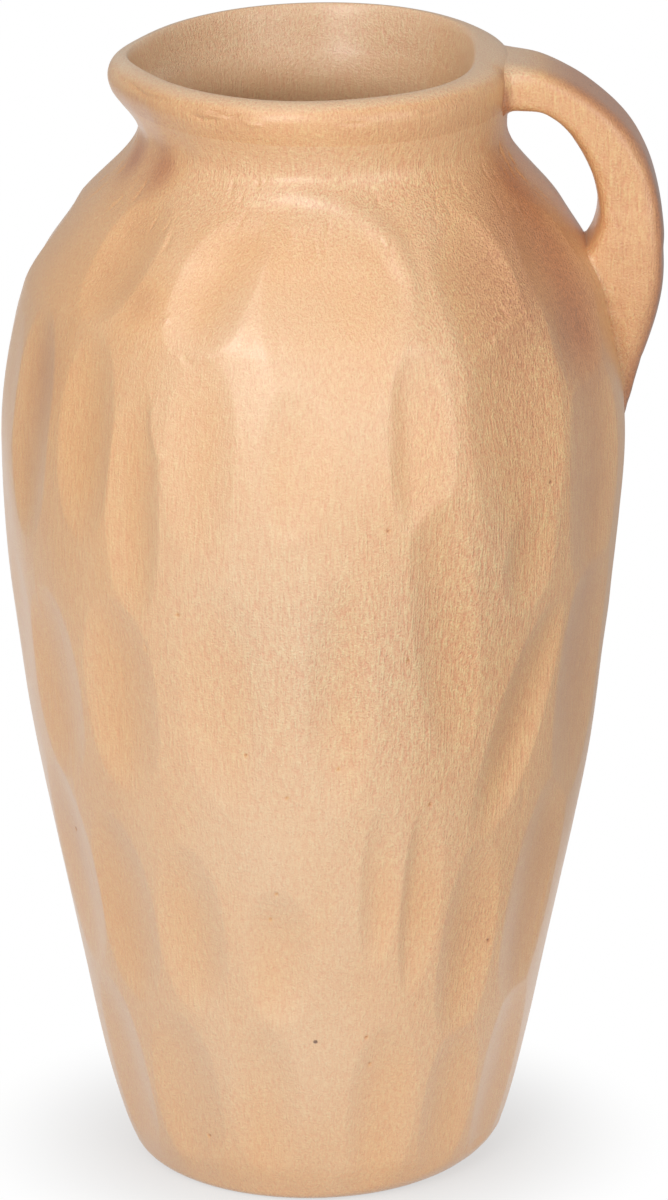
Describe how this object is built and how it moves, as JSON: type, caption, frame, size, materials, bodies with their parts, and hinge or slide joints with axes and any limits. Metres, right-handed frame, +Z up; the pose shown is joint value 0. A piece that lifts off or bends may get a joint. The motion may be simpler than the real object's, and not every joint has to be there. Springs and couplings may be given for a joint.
{
  "type": "vase",
  "caption": "Tall hand-built clay vase with a narrow foot, a full paddled belly, a short waisted neck, a flared lip drawn out to a pouring tip and a strap handle from lip to shoulder.",
  "frame": {"origin": "centre of the flat foot, on the table", "axes": "+Z up along the vase's axis, +X towards the handle, -Y towards the camera of the picture"},
  "size_m": [0.2303, 0.2174, 0.4016],
  "materials": {
    "floor_slab": "satin",
    "foot_course": "satin",
    "lower_course": "satin",
    "middle_course": "satin",
    "belly_course": "satin",
    "shoulder_course": "satin",
    "neck_collar": "satin",
    "rim_coil": "satin",
    "strap_handle": "satin"
  },
  "bodies": {
    "root": {"floor_slab": "floor_slab", "foot_course": "foot_course", "lower_course": "lower_course", "middle_course": "middle_course", "belly_course": "belly_course", "shoulder_course": "shoulder_course", "neck_collar": "neck_collar", "rim_coil": "rim_coil", "strap_handle": "strap_handle"}
  },
  "joints": []
}
